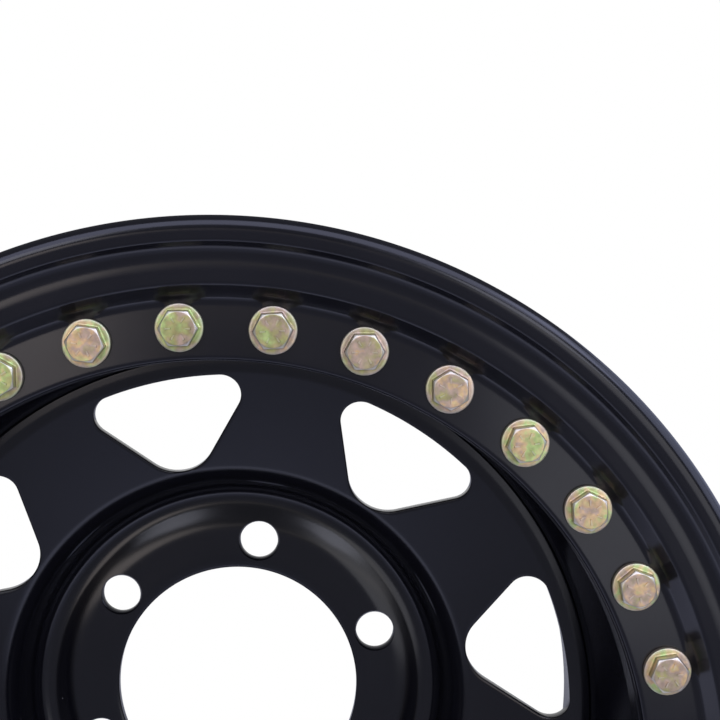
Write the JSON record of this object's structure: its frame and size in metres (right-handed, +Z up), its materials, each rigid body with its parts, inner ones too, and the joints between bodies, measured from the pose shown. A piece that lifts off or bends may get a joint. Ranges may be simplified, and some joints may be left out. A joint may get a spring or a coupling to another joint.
{
  "type": "beadlock wheel",
  "caption": "Black steel wheel with a dished, windowed disc welded in a drop-centre rim, and a stepped ring bolted to the outer side to clamp the tyre's bead.",
  "frame": {"origin": "on the wheel's axis, in the plane of the disc's hub mounting face", "axes": "+Y along the axle, inboard towards the vehicle; +Z up; the outer face looks along -Y"},
  "size_m": [0.4419, 0.2793, 0.442],
  "materials": {
    "black_paint": "satin black powder coat",
    "yellow_zinc": "yellow chromated zinc plate"
  },
  "bodies": {
    "root": {"clamp_ring": "black_paint", "clamp_bolts": "yellow_zinc", "lock_ring": "black_paint", "wheel_disc": "black_paint", "rim_barrel": "black_paint"}
  },
  "joints": []
}
